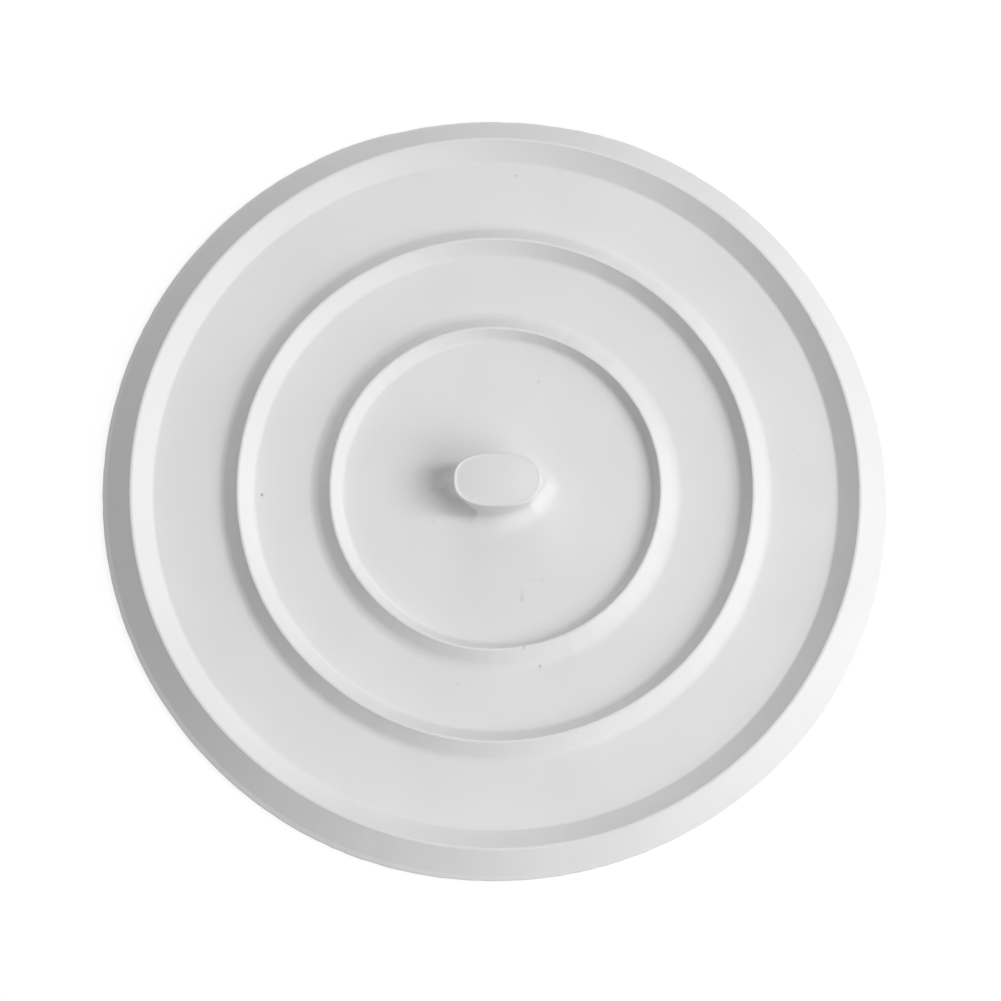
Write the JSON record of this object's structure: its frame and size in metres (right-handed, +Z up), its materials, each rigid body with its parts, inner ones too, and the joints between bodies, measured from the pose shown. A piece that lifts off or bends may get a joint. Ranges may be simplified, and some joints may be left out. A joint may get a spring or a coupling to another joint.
{
  "type": "drain stopper",
  "caption": "Flat round rubber drain stopper: bevelled sealing rim, concentric stiffening rings and a tapered central pull tab; lies over a drain and lifts off by the tab.",
  "frame": {"origin": "centre of the flat sealing face, on the sink", "axes": "+Z up along the disc's axis, X along the long side of the pull tab, -Y towards the viewer of the picture"},
  "size_m": [0.115, 0.115, 0.009],
  "materials": {
    "white_rubber": "matte moulded"
  },
  "bodies": {
    "rim": {"outer_rim": "white_rubber", "outer_web": "white_rubber"},
    "middle": {"middle_ring": "white_rubber", "inner_web": "white_rubber"},
    "inner": {"inner_ring": "white_rubber", "center_panel": "white_rubber"},
    "tab_base": {"knob_base": "white_rubber", "knob_neck": "white_rubber"},
    "tab": {"pull_knob": "white_rubber"}
  },
  "joints": [
    {"name": "middle_lift", "type": "slide", "parent": "rim", "child": "middle", "axis": [0, 0, 1], "range_m": [0, 0.002], "stiffness_N_per_m": 10000, "deforming": ["outer_web"]},
    {"name": "inner_lift", "type": "slide", "parent": "middle", "child": "inner", "axis": [0, 0, 1], "range_m": [0, 0.003], "stiffness_N_per_m": 6600, "deforming": ["inner_web"]},
    {"name": "knob_lift", "type": "slide", "parent": "inner", "child": "tab_base", "axis": [0, 0, 1], "range_m": [0, 0.004], "stiffness_N_per_m": 5000, "deforming": ["center_panel"]},
    {"name": "knob_tilt", "type": "hinge", "parent": "tab_base", "child": "tab", "pos_m": [0, 0, 0.0028], "axis": [1, 0, 0], "range_deg": [-20, 20], "stiffness_Nm_per_rad": 0.05, "deforming": ["knob_neck"]}
  ],
  "couplings": [
    {"joint": "middle_lift", "follows": "knob_lift", "ratio": 0.5},
    {"joint": "inner_lift", "follows": "knob_lift", "ratio": 0.75}
  ]
}
